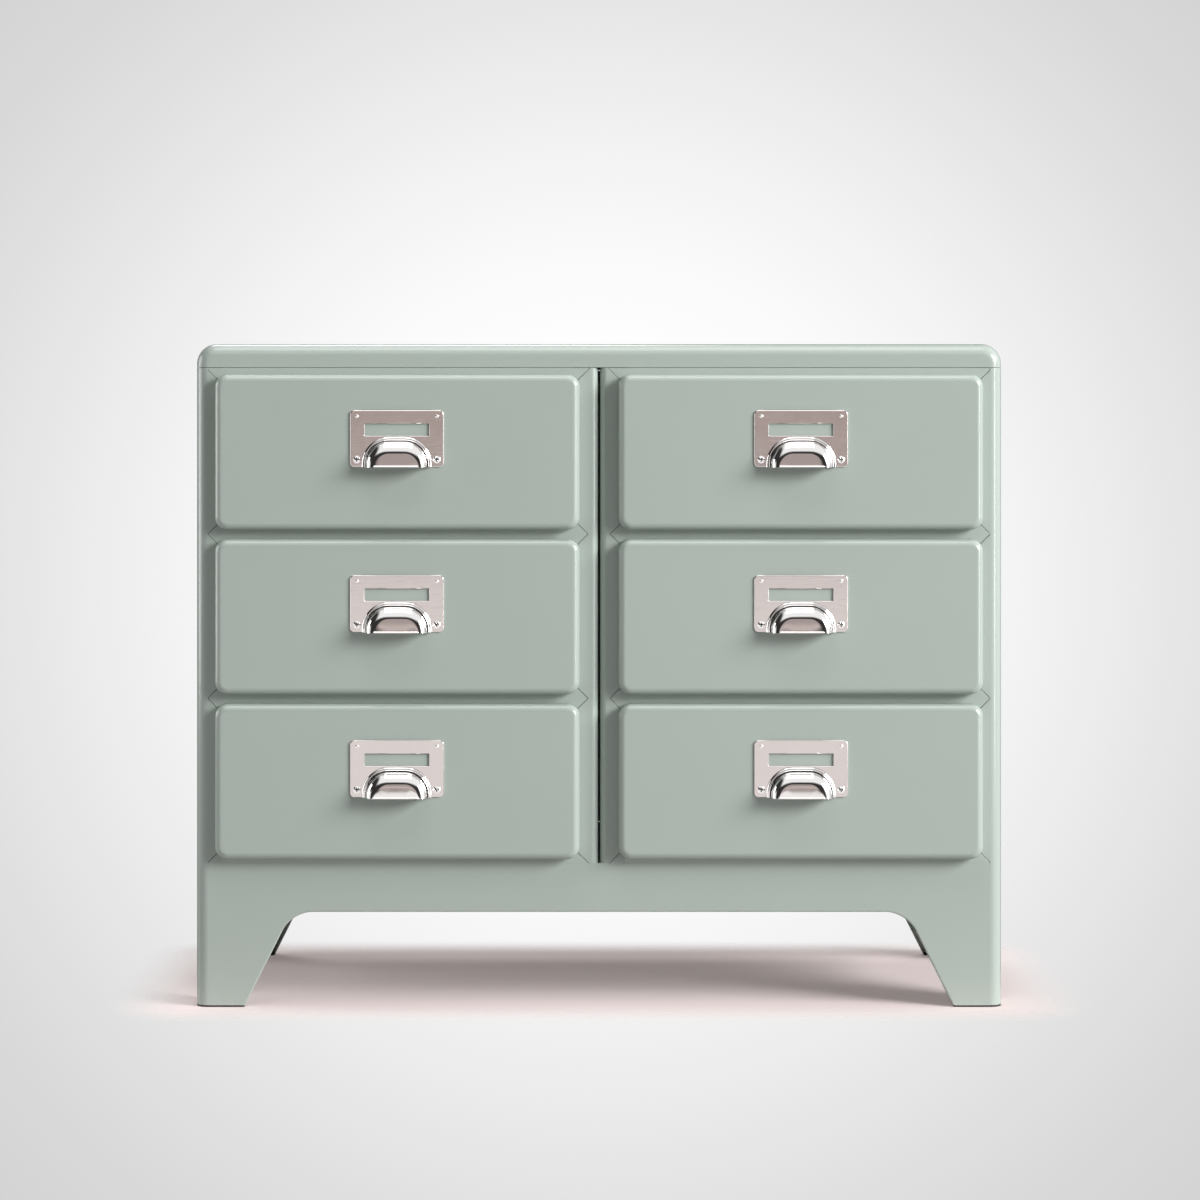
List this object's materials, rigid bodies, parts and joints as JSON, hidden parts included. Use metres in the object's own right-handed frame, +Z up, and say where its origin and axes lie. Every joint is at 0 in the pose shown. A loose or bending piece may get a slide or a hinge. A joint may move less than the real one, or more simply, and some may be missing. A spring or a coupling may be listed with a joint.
{
  "type": "drawer cabinet",
  "caption": "Painted sheet-steel drawer cabinet on splayed legs, with pressed drawer fronts, label-holder cup pulls and drawers that slide in two columns.",
  "frame": {"origin": "on the floor, under the middle of the whole outline, pulls and back screws included", "axes": "+X to the right seen from the front, the drawers open towards -Y, +Z up"},
  "size_m": [0.9, 0.422, 0.74],
  "materials": {
    "sage_paint": "semi-gloss enamel",
    "inside_paint": "satin enamel",
    "zinc_steel": "zinc plated",
    "nickel_plate": "satin nickel",
    "chrome_plate": "polished",
    "nylon": "natural nylon",
    "black_plastic": "moulded"
  },
  "bodies": {
    "cabinet": {"top_cover": "sage_paint", "left_side": "sage_paint", "right_side": "sage_paint", "left_inner_wall": "sage_paint", "right_inner_wall": "sage_paint", "back_panel": "inside_paint", "front_skirt": "sage_paint", "rear_skirt": "sage_paint", "leg_panels": "sage_paint", "floor_pan": "inside_paint", "top_rails": "sage_paint", "middle_rails": "sage_paint", "bottom_rails": "sage_paint", "left_runners": "zinc_steel", "right_runners": "zinc_steel", "runner_glides": "nylon", "foot_pads": "black_plastic", "back_screws": "zinc_steel"},
    "drawer_left_bottom": {"drawer_left_bottom_front": "sage_paint", "drawer_left_bottom_box": "inside_paint", "drawer_left_bottom_slides": "zinc_steel", "drawer_left_bottom_glides": "nylon", "drawer_left_bottom_label_plate": "nickel_plate", "drawer_left_bottom_cup_pull": "chrome_plate", "drawer_left_bottom_pull_screws": "chrome_plate"},
    "drawer_left_middle": {"drawer_left_middle_front": "sage_paint", "drawer_left_middle_box": "inside_paint", "drawer_left_middle_slides": "zinc_steel", "drawer_left_middle_glides": "nylon", "drawer_left_middle_label_plate": "nickel_plate", "drawer_left_middle_cup_pull": "chrome_plate", "drawer_left_middle_pull_screws": "chrome_plate"},
    "drawer_left_top": {"drawer_left_top_front": "sage_paint", "drawer_left_top_box": "inside_paint", "drawer_left_top_slides": "zinc_steel", "drawer_left_top_glides": "nylon", "drawer_left_top_label_plate": "nickel_plate", "drawer_left_top_cup_pull": "chrome_plate", "drawer_left_top_pull_screws": "chrome_plate"},
    "drawer_right_bottom": {"drawer_right_bottom_front": "sage_paint", "drawer_right_bottom_box": "inside_paint", "drawer_right_bottom_slides": "zinc_steel", "drawer_right_bottom_glides": "nylon", "drawer_right_bottom_label_plate": "nickel_plate", "drawer_right_bottom_cup_pull": "chrome_plate", "drawer_right_bottom_pull_screws": "chrome_plate"},
    "drawer_right_middle": {"drawer_right_middle_front": "sage_paint", "drawer_right_middle_box": "inside_paint", "drawer_right_middle_slides": "zinc_steel", "drawer_right_middle_glides": "nylon", "drawer_right_middle_label_plate": "nickel_plate", "drawer_right_middle_cup_pull": "chrome_plate", "drawer_right_middle_pull_screws": "chrome_plate"},
    "drawer_right_top": {"drawer_right_top_front": "sage_paint", "drawer_right_top_box": "inside_paint", "drawer_right_top_slides": "zinc_steel", "drawer_right_top_glides": "nylon", "drawer_right_top_label_plate": "nickel_plate", "drawer_right_top_cup_pull": "chrome_plate", "drawer_right_top_pull_screws": "chrome_plate"}
  },
  "joints": [
    {"name": "drawer_left_bottom_slide", "type": "slide", "parent": "cabinet", "child": "drawer_left_bottom", "axis": [0, -1, 0], "range_m": [0, 0.265]},
    {"name": "drawer_left_middle_slide", "type": "slide", "parent": "cabinet", "child": "drawer_left_middle", "axis": [0, -1, 0], "range_m": [0, 0.265]},
    {"name": "drawer_left_top_slide", "type": "slide", "parent": "cabinet", "child": "drawer_left_top", "axis": [0, -1, 0], "range_m": [0, 0.265]},
    {"name": "drawer_right_bottom_slide", "type": "slide", "parent": "cabinet", "child": "drawer_right_bottom", "axis": [0, -1, 0], "range_m": [0, 0.265]},
    {"name": "drawer_right_middle_slide", "type": "slide", "parent": "cabinet", "child": "drawer_right_middle", "axis": [0, -1, 0], "range_m": [0, 0.265]},
    {"name": "drawer_right_top_slide", "type": "slide", "parent": "cabinet", "child": "drawer_right_top", "axis": [0, -1, 0], "range_m": [0, 0.265]}
  ]
}
